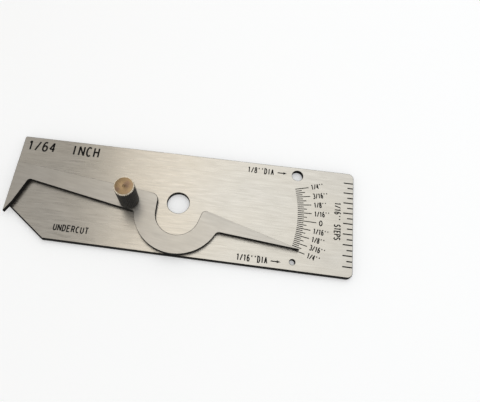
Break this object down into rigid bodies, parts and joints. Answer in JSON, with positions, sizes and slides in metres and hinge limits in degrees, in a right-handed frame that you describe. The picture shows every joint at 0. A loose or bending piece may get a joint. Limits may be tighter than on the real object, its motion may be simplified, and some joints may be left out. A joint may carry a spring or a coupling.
{
  "type": "weld gauge",
  "caption": "Flat steel weld gauge: a hooked pointer swings on a screw under a knurled brass thumb nut and shows weld crown height or undercut depth on an inch fan scale.",
  "frame": {"origin": "axis of the plate's centre hole, on the plate's back face", "axes": "+X along the plate from the hook end to the scale end, +Y across the plate towards its upper edge, +Z out of the marked face"},
  "size_m": [0.1008, 0.0318, 0.0131],
  "materials": {
    "plate_steel": "brushed along its length, etched black marks",
    "pointer_steel": "brushed along its length, dark cut edges",
    "screw_steel": "turned",
    "nut_brass": "knurled side, turned top"
  },
  "bodies": {
    "base": {"base_plate": "plate_steel", "pivot_screw": "screw_steel"},
    "pointer": {"pointer": "pointer_steel"},
    "thumb_nut": {"thumb_nut": "nut_brass"}
  },
  "joints": [
    {"name": "pointer_swing", "type": "hinge", "parent": "base", "child": "pointer", "pos_m": [-0.01397, -0.00158, 0.0023], "axis": [0, 0, 1], "range_deg": [0, 21.88]},
    {"name": "thumb_nut_turn", "type": "hinge", "parent": "base", "child": "thumb_nut", "pos_m": [-0.01397, -0.00158, 0.0081], "axis": [0, 0, 1], "range_deg": [0, 270]}
  ]
}
